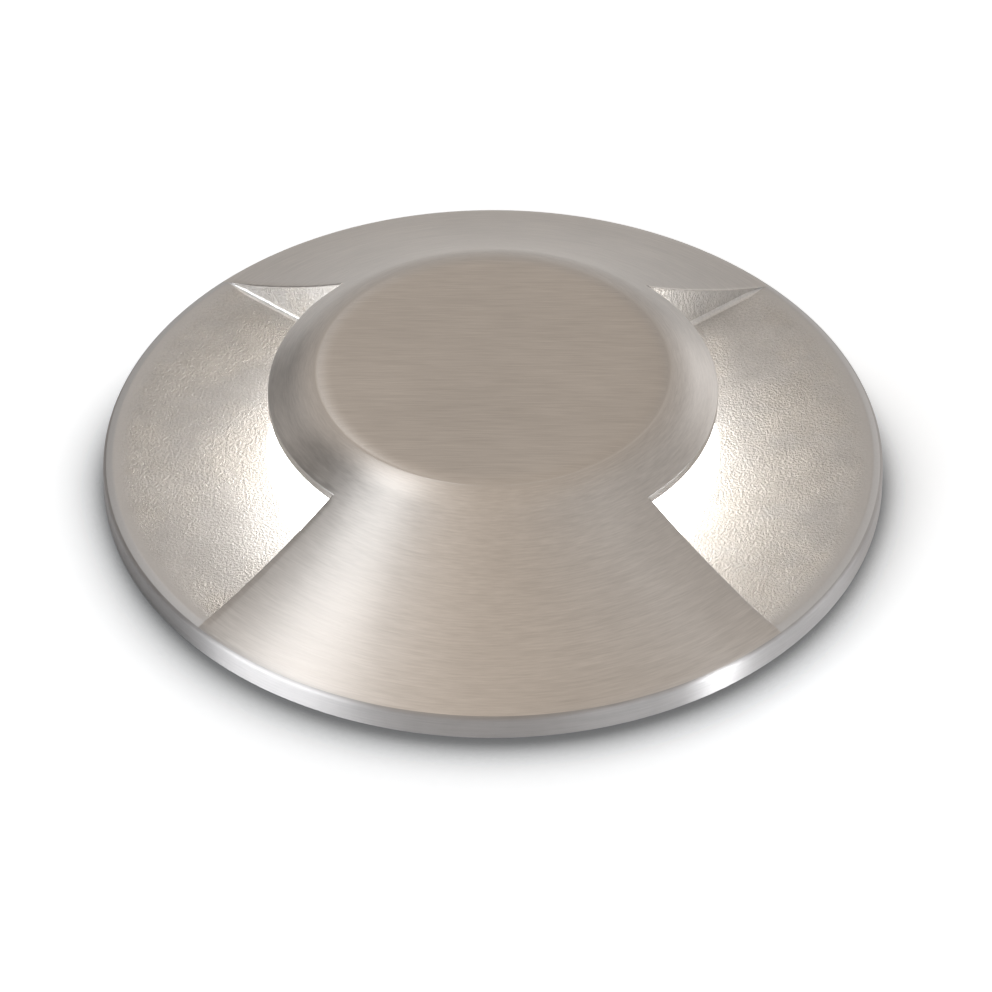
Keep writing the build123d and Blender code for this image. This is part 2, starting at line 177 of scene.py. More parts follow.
def shadeByAngle(bm, limit=32, softZone=None, softLimit=62):
    for face in bm.faces:
        face.smooth = True
    for edge in bm.edges:
        soft = all(face.material_index == softZone for face in edge.link_faces)
        bend = math.radians(softLimit if soft else limit)
        edge.smooth = len(edge.link_faces) == 2 and edge.calc_face_angle(0) < bend


def makePiece(bm, name, body, node, finishes):
    mesh = bpy.data.meshes.new(name)
    bm.to_mesh(mesh)
    bm.free()
    piece = bpy.data.objects.new(name, mesh)
    scene.collection.objects.link(piece)
    for finish in finishes:
        mesh.materials.append(finish)
    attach(piece, body)
    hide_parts(node)
    print(name, sum(len(face.vertices) - 2 for face in mesh.polygons), "triangles")


# Brushed stainless steel: belt-linished cap, turned flank
brushed = dict(
    capColour=(0.612, 0.582, 0.552), flankColour=(0.64, 0.61, 0.58), roughness=0.36, anisotropy=0.76,
    lineScale=4600, streakScale=1100, cloudScale=60, lineTone=0.1, streakTone=0.025, cloudTone=0.03,
    beltRadius=24.4, beltFade=0.9, beltStretch=(0.04, 1, 0.3), turnedReach=2.6,
    lineSheen=0.05, bump=0.1, bumpHeight=0.00002,
)


def brushedFinish():
    sheen = brushed["roughness"]
    finish, tree, shader = newFinish("brushedStainless", brushed["flankColour"], 1.0, sheen)
    place = objectPlace(tree)
    outward = awayFromAxis(tree, place)
    radius = vectors(tree, "LENGTH", outward)
    belt = brushed["beltRadius"] * mm
    # 0 on the cap, 1 beyond it
    flank = remap(tree, radius, belt, belt + brushed["beltFade"] * mm, smooth=True)
    heading = vectors(tree, "NORMALIZE", outward)
    feed(tree, shader.inputs["Tangent"], blendOf(tree, "VECTOR", flank, (0, 1, 0), heading))
    around = vectors(tree, "SCALE", heading, brushed["turnedReach"] * mm)
    turnedLines = vectors(tree, "ADD", around, joinXyz(tree, 0, 0, radius))
    beltLines = vectors(tree, "MULTIPLY", place, brushed["beltStretch"])
    lineVector = blendOf(tree, "VECTOR", flank, beltLines, turnedLines)
    lines = grain(tree, lineVector, brushed["lineScale"])
    streaks = grain(tree, lineVector, brushed["streakScale"])
    clouds = grain(tree, place, brushed["cloudScale"], 2.0, 0.5)
    tone = sums(tree, "ADD", varied(tree, lines, 0.0, brushed["lineTone"], 0.25),
                varied(tree, streaks, 0.0, brushed["streakTone"]))
    tone = sums(tree, "ADD", tone, varied(tree, clouds, 1.0, brushed["cloudTone"]))
    colour = blendOf(tree, "RGBA", flank, (*brushed["capColour"], 1), (*brushed["flankColour"], 1))
    feed(tree, shader.inputs["Base Color"], vectors(tree, "SCALE", colour, tone))
    feed(tree, shader.inputs["Roughness"], varied(tree, lines, sheen, brushed["lineSheen"], 0.3))
    shader.inputs["Anisotropic"].default_value = brushed["anisotropy"]
    raised(tree, shader, lines, brushed["bump"], brushed["bumpHeight"])
    return finish


# Sand-cast stainless steel in the recesses
cast = dict(
    colour=(0.62, 0.598, 0.575), warm=(1.018, 1.0, 0.972), cold=(0.992, 1.0, 1.01), patchScale=75,
    metallic=0.9, roughness=0.52, lumpScale=2500, pitScale=6000, pitShare=0.45, cloudScale=190,
    lumpTone=0.065, cloudTone=0.06, speckle=0.07, lumpSheen=(0.08, -0.05), patchEdge=(0.4, 0.6),
    wallStretch=0.65, wallLean=(0.3, 0.7), bump=1.0, bumpHeight=0.0004,
    patchGrain=(0.45, 1.15),  # share of the grain in cold and in warm patches
    smoothing=(50.8, 53.4),  # radii between which the grain dies away towards the lip
    smoothTone=0.985, smoothTint=(0.978, 1.0, 1.03),
)
# Smoother at the foot of the walls, and brighter there as a painted highlight along the fillet
fillet = dict(cast, colour=(0.82, 0.8, 0.775), roughness=0.34, bumpHeight=0.0001)


def castFinish(name, look):
    finish, tree, shader = newFinish(name, look["colour"], look["metallic"], look["roughness"])
    place = objectPlace(tree)
    radius = vectors(tree, "LENGTH", awayFromAxis(tree, place))
    near, far = (reach * mm for reach in look["smoothing"])
    coarse = remap(tree, radius, near, far, 1.0, 0.0, smooth=True)
    facing = splitXyz(tree, addNode(tree, "ShaderNodeNewGeometry").outputs["True Normal"])[2]
    level = sums(tree, "ABSOLUTE", facing)
    upright = remap(tree, level, *look["wallLean"], look["wallStretch"], 1.0, smooth=True)
    drawn = vectors(tree, "MULTIPLY", place, joinXyz(tree, 1, 1, upright))  # lumps run down the walls
    lumps = grain(tree, drawn, look["lumpScale"])
    pits = grain(tree, drawn, look["pitScale"], 2.0, 0.5)
    clouds = grain(tree, drawn, look["cloudScale"])
    tone = sums(tree, "ADD", varied(tree, lumps, look["smoothTone"], look["lumpTone"]),
                varied(tree, clouds, 0.0, look["cloudTone"]))
    tone = sums(tree, "ADD", tone, varied(tree, pits, 0.0, look["speckle"]))
    tone = blendOf(tree, "FLOAT", coarse, look["smoothTone"], tone)
    patches = remap(tree, grain(tree, drawn, look["patchScale"]), *look["patchEdge"])
    tint = blendOf(tree, "VECTOR", patches, look["cold"], look["warm"])
    tint = blendOf(tree, "VECTOR", coarse, look["smoothTint"], tint)
    colour = vectors(tree, "MULTIPLY", tint, look["colour"])
    feed(tree, shader.inputs["Base Color"], vectors(tree, "SCALE", colour, tone))
    dull, bright = (look["roughness"] + change for change in look["lumpSheen"])
    feed(tree, shader.inputs["Roughness"], remap(tree, lumps, 0.3, 0.7, dull, bright))
    height = sums(tree, "MULTIPLY_ADD", pits, look["pitShare"], lumps)
    height = sums(tree, "SUBTRACT", height, 0.5 + 0.5 * look["pitShare"])  # about its middle
    patchy = remap(tree, patches, 0.0, 1.0, *look["patchGrain"])
    height = sums(tree, "MULTIPLY", height, sums(tree, "MULTIPLY", coarse, patchy))
    raised(tree, shader, height, look["bump"], look["bumpHeight"])
    return finish


# Turned rim, finer and colder than the flank, and the turned skirt and underside. The rim's darker colour is
# partly painted shade, standing in for the shadowed floor that it mirrors
rim = dict(
    colour=(0.47, 0.454, 0.448), roughness=0.5, anisotropy=0.88, lineScale=4200, lineTone=0.1,
    lineSheen=0.04, ringStretch=(0.03, 0.03, 1), scuffScale=300, scuffTone=0.03,
)
underside = dict(
    rim, colour=(0.5, 0.48, 0.46), roughness=0.4, anisotropy=0.6, lineScale=2600, lineTone=0.08,
)


def turnedFinish(name, look):
    finish, tree, shader = newFinish(name, look["colour"], 1.0, look["roughness"])
    place = objectPlace(tree)
    lines = grain(tree, vectors(tree, "MULTIPLY", place, look["ringStretch"]), look["lineScale"])
    scuffs = grain(tree, place, look["scuffScale"])
    tone = sums(tree, "ADD", varied(tree, lines, 1.0, look["lineTone"], 0.25),
                varied(tree, scuffs, 0.0, look["scuffTone"]))
    feed(tree, shader.inputs["Base Color"], vectors(tree, "SCALE", look["colour"], tone))
    feed(tree, shader.inputs["Roughness"], varied(tree, lines, look["roughness"], look["lineSheen"], 0.25))
    slanted = vectors(tree, "ADD", awayFromAxis(tree, place), (0, 0, 1))
    feed(tree, shader.inputs["Tangent"], vectors(tree, "NORMALIZE", slanted))
    shader.inputs["Anisotropic"].default_value = look["anisotropy"]
    return finish


# Top cover: turned shell with a wedge-shaped recess and a window slot on each side
cover = dict(
    rimCorner=3.8, rimRound=0.8, rimEdge=0.3, lipRound=9.0, capCorner=26.0, capBlend=11.0, flankDip=1.1,
    recessFloor=4.35, halfAngle=38.6, apexOffset=6.9, wallRound=0.22, wallFillet=0.6,
    eaveRadius=31.5, eaveThickness=1.3, eaveRound=0.22, slotRadius=31.95, boreRadius=27.5,
    skirtOuter=41.0, skirtInner=36.4, skirtChamfer=0.8, seatRadius=45.5, seatDepth=0.6,
    quarterSteps=70, capRings=8, blendRings=10, shoulderRings=3, flankRings=24, lipRings=4, edgeRings=4,
    sideRings=4, eaveRings=3, wallRows=6, roundTurns=(30, 60, 90), wallRunOut=1.4, roundFade=6,
    castCuts=3, castMargin=0.05, lumpSize=0.55, lumpHeight=0.012, wallLumps=0.07, wallDraw=0.6,
    lumpFractal=(0.9, 2.1, 2),  # fall-off, step and octaves
)
coverLow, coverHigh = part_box("top_cover")
coverRadius = coverHigh.x / mm
capHeight = coverHigh.z / mm
skirtBottom = coverLow.z / mm
capZone, castZone, rimZone, underZone, filletZone = range(5)

# Flank: a shallow hollow arc from the rim's corner to the cap's corner
chord = Vector((cover["capCorner"] - coverRadius, capHeight - cover["rimCorner"]))
flankRadius = chord.length ** 2 / (8 * cover["flankDip"]) + cover["flankDip"] / 2
flankMiddle = Vector((coverRadius + cover["capCorner"], cover["rimCorner"] + capHeight)) / 2
flankCentre = flankMiddle + Vector((chord.y, -chord.x)).normalized() * (flankRadius - cover["flankDip"])


def flankHeight(radius):
    return flankCentre.y - math.sqrt(flankRadius ** 2 - (radius - flankCentre.x) ** 2)


def flankTurn(radius):  # how far the flank's face leans from straight up
    return math.asin((flankCentre.x - radius) / flankRadius)


# Roundings that touch the flank: the cap's shoulder and the eave over a window
blendHeight = capHeight - cover["capBlend"]
blendReach = flankRadius + cover["capBlend"]
blendPlace = flankCentre.x - math.sqrt(blendReach ** 2 - (flankCentre.y - blendHeight) ** 2)
blendTurn = math.asin((flankCentre.x - blendPlace) / blendReach)
eaveUnder = flankHeight(cover["eaveRadius"]) - cover["eaveThickness"]
eaveTurn = flankTurn(cover["eaveRadius"])
eaveStart = cover["eaveRadius"] - cover["eaveRound"] * (1 - math.sin(eaveTurn))
floorDrop = flankCentre.y - cover["recessFloor"]
# Radius at which the flank meets the recess floor
floorEdge = flankCentre.x - math.sqrt(flankRadius ** 2 - floorDrop ** 2)

# Lip: beyond the recess floor the flank turns over softly to the rim's edge
lipTurn = flankTurn(floorEdge)
lipHeart = (floorEdge - cover["lipRound"] * math.sin(lipTurn),
            cover["recessFloor"] - cover["lipRound"] * math.cos(lipTurn))
lipReach = cover["lipRound"] - cover["rimRound"]
rimTurn = math.asin((coverRadius - cover["rimRound"] - lipHeart[0]) / lipReach)
rimHeight = lipHeart[1] + lipReach * math.cos(rimTurn)
rimHeart = (coverRadius - cover["rimRound"], rimHeight)


def recessWall(radius):  # how far round from the window's axis a recess wall stands
    half = math.radians(cover["halfAngle"])
    return half + math.asin(cover["apexOffset"] * math.sin(half) / max(radius, cover["boreRadius"]))


def offAxis(place):  # how far round from the nearer window's axis a place lies
    return (math.atan2(place.y, place.x) + math.pi / 2) % math.pi - math.pi / 2


def wallEase(radius):  # 1 along a wall, falling to 0 where it runs out at the rim
    wallHeight = flankHeight(min(radius, floorEdge)) - cover["recessFloor"]
    return max(0.0, min(1.0, wallHeight / cover["wallRunOut"]))


def wallPlace(vert, height, shift):  # the same radius on the wall's line, shift mm out of the recess
    radius = vert.co.xy.length / mm
    off = offAxis(vert.co)
    axis = math.atan2(vert.co.y, vert.co.x) - off
    return polar(radius, height, axis + math.copysign(recessWall(radius) + shift / radius, off))


def leanWalls(bm):  # slides the quarter lines onto the walls, which aren't radial
    floor = cover["recessFloor"]
    for vert in bm.verts:
        radius = vert.co.xy.length / mm
        if radius < close:
            continue
        fade = min(1.0, radius / cover["eaveRadius"]) ** cover["roundFade"]
        shift = wallEase(radius) * cover["wallRound"] * fade
        if abs(vert.co.z / mm - floor) < hair and radius < floorEdge - hair:
            shift = -wallEase(radius) * cover["wallFillet"]
        elif vert.co.z / mm < floor - hair:
            shift = 0.0
        off = offAxis(vert.co)
        axis = math.atan2(vert.co.y, vert.co.x) - off
        wall = recessWall(radius) + shift / radius
        share = abs(off) / (math.pi / 4)
        moved = share * wall if share <= 1 else math.pi / 2 - (2 - share) * (math.pi / 2 - wall)
        vert.co = polar(radius, vert.co.z / mm, axis + math.copysign(moved, off))


def coverMesh():
    bm = bmesh.new()
    quarter = cover["quarterSteps"]
    around = dict(start=-math.pi / 4, steps=4 * quarter)
    sector = dict(steps=quarter, sweep=math.pi / 2)
    floor = cover["recessFloor"]
    slot, bore, eave = cover["slotRadius"], cover["boreRadius"], cover["eaveRadius"]
    flankStart = blendPlace + cover["capBlend"] * math.sin(blendTurn)
    cap = [(radius, capHeight) for radius in [0] + spread(0, blendPlace, cover["capRings"])]
    cap += arcPoints((blendPlace, blendHeight), cover["capBlend"], spread(0, blendTurn, cover["blendRings"]))
    cap += [(radius, flankHeight(radius)) for radius in spread(flankStart, eaveStart, cover["shoulderRings"])]
    rings = [slot] + spread(slot, floorEdge, cover["flankRings"])
    flank = [(radius, flankHeight(radius)) for radius in [eaveStart, eave] + rings]
    lipTurns = [lipTurn] + spread(lipTurn, rimTurn, cover["lipRings"])
    lip = arcPoints(lipHeart, cover["lipRound"], lipTurns)
    edgeTurns = [rimTurn] + spread(rimTurn, math.pi / 2, cover["edgeRings"])
    edge = arcPoints(rimHeart, cover["rimRound"], edgeTurns)
    edge += [(coverRadius, height) for height in spread(rimHeight, cover["rimEdge"], cover["sideRings"])]
    edge += [(coverRadius - cover["rimEdge"], 0)]
    eaveDrop = cover["eaveRound"] * math.cos(eaveTurn)
    eaveHeart = (eave - cover["eaveRound"], flankHeight(eaveStart) - eaveDrop)
    eaveTurns = spread(eaveTurn, math.pi / 2, cover["eaveRings"])
    eaveFace = [cap[-1]] + arcPoints(eaveHeart, cover["eaveRound"], eaveTurns)
    eaveFace += [(eave, eaveUnder), (bore, eaveUnder)]
    outer, inner, chamfer = cover["skirtOuter"], cover["skirtInner"], cover["skirtChamfer"]
    seat, bottom = cover["seatDepth"], skirtBottom
    under = [edge[-1], (cover["seatRadius"], 0), (cover["seatRadius"], seat)]
    under += [(outer, seat), (outer, bottom + chamfer), (outer - chamfer, bottom)]
    under += [(inner + chamfer, bottom), (inner, bottom + chamfer), (inner, 0), (slot, 0)]
    spinStrip(bm, cap, zone=capZone, **around)
    spinStrip(bm, lip, zone=capZone, **around)
    spinStrip(bm, edge, zone=rimZone, **around)
    spinStrip(bm, under, zone=underZone, **around)
    spinStrip(bm, [(bore, eaveUnder), (0, eaveUnder)], zone=underZone, **around)
    for start in (math.pi / 4, 5 * math.pi / 4):  # front and back
        spinStrip(bm, flank, start, zone=capZone, **sector)
        spinStrip(bm, [(slot, 0), (bore, 0), (bore, eaveUnder)], start, zone=underZone, **sector)
    for start in (-math.pi / 4, 3 * math.pi / 4):  # the two windows
        spinStrip(bm, [(radius, floor) for radius in rings], start, zone=castZone, **sector)
        spinStrip(bm, [(slot, floor), (slot, 0)], start, zone=castZone, **sector)
        spinStrip(bm, eaveFace, start, zone=capZone, **sector)
    bmesh.ops.remove_doubles(bm, verts=bm.verts, dist=weld)
    leanWalls(bm)
    drawWalls(bm)
    castLip(bm)
    bmesh.ops.remove_doubles(bm, verts=bm.verts, dist=weld)
    bmesh.ops.dissolve_degenerate(bm, edges=bm.edges, dist=hair * mm)
    gaps = [edge for edge in bm.edges if edge.is_boundary]
    for face in bmesh.ops.holes_fill(bm, edges=gaps, sides=0)["faces"]:
        face.material_index = castZone
    bmesh.ops.recalc_face_normals(bm, faces=bm.faces)
    return bm


def castLip(bm):  # the cast skin runs on over the lip
    for face in bm.faces:
        centre = face.calc_center_median()
        radius = centre.xy.length / mm
        inRecess = radius > floorEdge and abs(offAxis(centre)) < recessWall(radius)
        if face.material_index == capZone and inRecess:
            face.material_index = castZone


# The flank's open ends go over a rounding, down the wall and over a fillet to the floor
def drawWalls(bm):
    floor, slot = cover["recessFloor"], cover["slotRadius"]
    zones = {"round": capZone, "wall": castZone, "fillet": filletZone}
    ends = [edge for edge in bm.edges
            if edge.is_boundary and edge.link_faces[0].material_index == capZone
            and all(vert.co.xy.length > (slot - close) * mm for vert in edge.verts)]
    turns = [math.radians(turn) for turn in cover["roundTurns"]]
    rows = [("round", turn) for turn in turns]
    rows += [("wall", share) for share in spread(0, 1, cover["wallRows"])]
    rows += [("fillet", turn) for turn in turns]
    for kind, value in rows:
        known = set(bm.faces)
        drawn = bmesh.ops.extrude_edge_only(bm, edges=ends)["geom"]
        fresh = {item for item in drawn if isinstance(item, bmesh.types.BMVert)}
        ends = [item for item in drawn
                if isinstance(item, bmesh.types.BMEdge) and fresh.issuperset(item.verts)]
        for vert in fresh:
            radius = vert.co.xy.length / mm
            ease = wallEase(radius)
            top = flankHeight(radius) - cover["wallRound"] * ease
            bottom = floor + cover["wallFillet"] * ease
            shift, height = 0.0, top + (bottom - top) * value
            if kind == "round":
                shift = cover["wallRound"] * ease * (1 - math.sin(value))
                height = top + cover["wallRound"] * ease * math.cos(value)
            if kind == "fillet":
                shift = -cover["wallFillet"] * ease * (1 - math.cos(value))
                height = bottom - cover["wallFillet"] * ease * math.sin(value)
            vert.co = wallPlace(vert, height, shift)
        for face in set(bm.faces) - known:
            face.material_index = zones[kind]


def roughenRecess(bm):  # cast lumps on the floors and walls
    near, far = (cover["slotRadius"] + cover["castMargin"]) * mm, (floorEdge - close) * mm
    faces = {face for face in bm.faces if face.material_index == castZone and len(face.verts) < 5
             and near < face.calc_center_median().xy.length < far}
    edges = [edge for edge in bm.edges if edge.link_faces and faces.issuperset(edge.link_faces)]
    bmesh.ops.subdivide_edges(bm, edges=edges, cuts=cover["castCuts"], use_grid_fill=True)
    for vert in bm.verts:
        if not near < vert.co.xy.length < far:
            continue
        if any(face.material_index != castZone for face in vert.link_faces):
            continue
        wall = vert.normal.xy.length
        drawnHeight = vert.co.z * (1 - cover["wallDraw"] * wall)
        spot = Vector((vert.co.x, vert.co.y, drawnHeight)) / (cover["lumpSize"] * mm)
        height = cover["lumpHeight"] + (cover["wallLumps"] - cover["lumpHeight"]) * wall
        vert.co += vert.normal * noise.fractal(spot, *cover["lumpFractal"]) * height * mm


coverBm = coverMesh()
print("cover shell:", sum(edge.is_boundary for edge in coverBm.edges), "open edges,",
      sum(not edge.is_manifold for edge in coverBm.edges), "odd edges")
roughenRecess(coverBm)
shadeByAngle(coverBm, softZone=castZone)
makePiece(coverBm, "cover_shell", "cover", "top_cover",
          [brushedFinish(), castFinish("castStainless", cast), turnedFinish("turnedRimPaintedShade", rim),
           turnedFinish("turnedUnderside", underside), castFinish("castFilletPaintedHighlight", fillet)])


# Finishes of the inner pieces: colour, sheen, and a grain that varies tone, sheen and height
rubberNodes = ["cover_gasket", "housing_seal_ring", "grip_ring_upper", "grip_ring_lower"]
rubberNodes += ["gland_washer", "gland_insert"]
screwNodes = ["carrier_screws", "board_screws", "reflector_screw", "driver_screws", "terminal_screws"]
brassNodes = ["driver_standoffs", "gland_body", "gland_nut"]
plain = {
    "opalDiffuser": dict(colour=(0.95, 0.95, 0.93), sheen=0.35, nodes=["light_diffuser"], tone=0.02,
                         glow=4.1, glowColour=(1.0, 0.985, 0.96)),
    "sealRubber": dict(colour=(0.03, 0.03, 0.03), sheen=0.7, nodes=rubberNodes, tone=0.25, bump=0.00002),
    "castAluminium": dict(colour=(0.52, 0.53, 0.54), metallic=1.0, sheen=0.48,
                          nodes=["housing", "led_carrier"], tone=0.09, bump=0.00006, grain=1500),
    "screwSteel": dict(colour=(0.6, 0.6, 0.6), metallic=1.0, sheen=0.3, nodes=screwNodes, tone=0.06),
    "thermalPad": dict(colour=(0.45, 0.5, 0.55), sheen=0.8, nodes=["thermal_pad"], tone=0.05),
    "whiteBoard": dict(colour=(0.9, 0.9, 0.88), sheen=0.5, nodes=["led_board"], tone=0.03),
    "ledPhosphor": dict(colour=(0.95, 0.85, 0.45), sheen=0.4, nodes=["led_emitters"], tone=0.03),
    "polishedReflector": dict(colour=(0.9, 0.9, 0.9), metallic=1.0, sheen=0.14, nodes=["reflector_trumpet"],
                              tone=0.02),
    "redInsulation": dict(colour=(0.6, 0.04, 0.03), sheen=0.4, nodes=["led_lead_positive"], tone=0.06),
    "blackInsulation": dict(colour=(0.02, 0.02, 0.02), sheen=0.4, nodes=["led_lead_negative"], tone=0.1),
    "greenBoard": dict(colour=(0.03, 0.22, 0.09), sheen=0.4, nodes=["driver_board"], tone=0.12, grain=500),
    "componentBlack": dict(colour=(0.04, 0.04, 0.04), sheen=0.5, nodes=["driver_choke", "driver_chips"],
                           tone=0.1),
    "capacitorSleeve": dict(colour=(0.05, 0.06, 0.12), sheen=0.3, nodes=["driver_capacitors"], tone=0.06),
    "terminalPlastic": dict(colour=(0.1, 0.35, 0.16), sheen=0.4, nodes=["terminal_block"], tone=0.06),
    "nickelBrass": dict(colour=(0.64, 0.61, 0.55), metallic=1.0, sheen=0.38, nodes=brassNodes, tone=0.07,
                        grain=1200),
    "sleevePlastic": dict(colour=(0.05, 0.05, 0.055), sheen=0.55, nodes=["mounting_sleeve"], tone=0.15,
                          bump=0.00004),
}
usual = dict(metallic=0.0, grain=900, sheenSwing=0.06, bumpStrength=0.6)
innerFinishes = {}
for name, own in plain.items():
    look = {**usual, **own}
    finish, tree, shader = newFinish(name, look["colour"], look["metallic"], look["sheen"])
    place = objectPlace(tree)
    speckle = grain(tree, place, look["grain"])
    tone = varied(tree, speckle, 1.0, look["tone"])
    feed(tree, shader.inputs["Base Color"], vectors(tree, "SCALE", look["colour"], tone))
    feed(tree, shader.inputs["Roughness"], varied(tree, speckle, look["sheen"], look["sheenSwing"]))
    if "bump" in look:
        raised(tree, shader, speckle, look["bumpStrength"], look["bump"])
    if "glow" in look:
        shader.inputs["Emission Color"].default_value = (*look["glowColour"], 1)
        shader.inputs["Emission Strength"].default_value = look["glow"]
    for node in look["nodes"]:
        nodes[node].data.materials.clear()
        nodes[node].data.materials.append(finish)
    innerFinishes[name] = finish
print("inner finishes", len(plain))


# Housing, gland and sleeve: the solids with softened edges
soft = {  # node: body, width of the rounding, radius within which edges stay sharp, finish, slot
    "housing": ("housing", 0.18, 36.4, "castAluminium", "cast_aluminium"),
    "gland_body": ("housing", 0.3, 8.5, "nickelBrass", "nickel_brass"),
    "gland_nut": ("housing", 0.3, 9.0, "nickelBrass", "nickel_brass"),
    "mounting_sleeve": ("sleeve", 0.3, 0.0, "sleevePlastic", "sleeve_plastic"),
}
softening = dict(flatAngle=1, sliver=0.1, sharpAngle=40, segments=2, shadeAngle=30)


def softenedCopy(node, width, inside):
    bm = bmesh.new()
    bm.from_mesh(nodes[node].data)
    bmesh.ops.remove_doubles(bm, verts=bm.verts, dist=weld)
    flat, sharp = (math.radians(softening[angle]) for angle in ("flatAngle", "sharpAngle"))
    bmesh.ops.dissolve_limit(bm, angle_limit=flat, verts=bm.verts, edges=bm.edges)
    # Slivers would spoil the rounding
    bmesh.ops.remove_doubles(bm, verts=bm.verts, dist=softening["sliver"] * mm)
    edges = [edge for edge in bm.edges if len(edge.link_faces) == 2
             and edge.calc_face_angle(0) > sharp
             and min(vert.co.xy.length for vert in edge.verts) > inside * mm]
    bmesh.ops.bevel(bm, geom=edges, offset=width * mm, offset_type="OFFSET", profile=0.5,
                    segments=softening["segments"], affect="EDGES", material=-1)
    return bm


# Thread: the housing's neck goes in to the thread's root, and a ridge winds up it
thread = dict(
    pitch=2.0, depth=0.55, foot=1.1, crest=0.4, crestGap=0.05, sink=0.1, start=0.9, turns=2.4, turnSteps=72,
)


def cutThread(bm):
    neckTop = max(vert.co.z for vert in bm.verts)
    neckRadius = max(vert.co.xy.length for vert in bm.verts if neckTop - vert.co.z < close * mm)
    root = neckRadius - thread["depth"] * mm
    for vert in bm.verts:
        if abs(vert.co.xy.length - neckRadius) < close * mm:
            vert.co.xy *= root / neckRadius
    crest, base = neckRadius / mm - thread["crestGap"], root / mm - thread["sink"]
    foot, top = thread["foot"] / 2, thread["crest"] / 2
    low = skirtBottom + thread["start"]
    corners = [bm.verts.new(polar(radius, low + height))
               for radius, height in [(base, -foot), (crest, -top), (crest, top), (base, foot)]]
    edges = [bm.edges.new(pair) for pair in zip(corners, corners[1:] + corners[:1])]
    steps = round(thread["turns"] * thread["turnSteps"])
    turned = bmesh.ops.spin(bm, geom=corners + edges, cent=(0, 0, 0), axis=(0, 0, 1), steps=steps,
                            angle=fullTurn * thread["turns"],
                            dvec=(0, 0, thread["pitch"] * mm / thread["turnSteps"]))
    lastCorners = [item for item in turned["geom_last"] if isinstance(item, bmesh.types.BMVert)]
    for end in (corners, lastCorners):  # the ridge runs out to a point
        bmesh.ops.pointmerge(bm, verts=end, merge_co=end[0].co.copy())


for node, (body, width, inside, look, slotName) in soft.items():
    pieceBm = softenedCopy(node, width, inside)
    if node == "housing":
        cutThread(pieceBm)
    bmesh.ops.recalc_face_normals(pieceBm, faces=pieceBm.faces)
    shadeByAngle(pieceBm, softening["shadeAngle"])
    makePiece(pieceBm, node + "_soft", body, node, [innerFinishes[look]])


# Ground: a white floor with the drilled hole that the sleeve stands in
ground = dict(
    size=4.0, holeRadius=45.4, holeDepth=110.0, colour=(0.87, 0.92, 0.97), lift=0.53, mirrorLift=0.2,
    shadowReach=30.0, shadowLean=0.7, shadowRange=(0.1, 0.86), sidePower=0.88, darkest=0.16,
    shadowFront=(-15.0, -60.0), frontPower=1.68,  # the painted contact shadow deepens towards the front
    shadowBack=(-5.0, 35.0),  # and fades towards the back
    mirrorLeft=(-20.0, -10.0), mirrorSlant=-0.6,  # only the rim's left side mirrors the painted shadow
    segments=96, roughness=0.9, shadowSamples=12,
)


def groundMesh():
    bm = bmesh.new()
    segments = ground["segments"]
    hole = bmesh.ops.create_circle(bm, segments=segments, radius=ground["holeRadius"] * mm)["verts"]
    outer = bmesh.ops.create_circle(bm, segments=segments, radius=ground["size"])["verts"]
    rings = {edge for vert in hole + outer for edge in vert.link_edges}
    bmesh.ops.bridge_loops(bm, edges=list(rings))
    holeEdges = [edge for edge in bm.edges if all(vert in set(hole) for vert in edge.verts)]
    drawn = bmesh.ops.extrude_edge_only(bm, edges=holeEdges)["geom"]
    bottom = [item for item in drawn if isinstance(item, bmesh.types.BMVert)]
    bmesh.ops.translate(bm, verts=bottom, vec=(0, 0, -ground["holeDepth"] * mm))
    bmesh.ops.contextual_create(bm, geom=bottom)
    bmesh.ops.recalc_face_normals(bm, faces=bm.faces)
    return bm


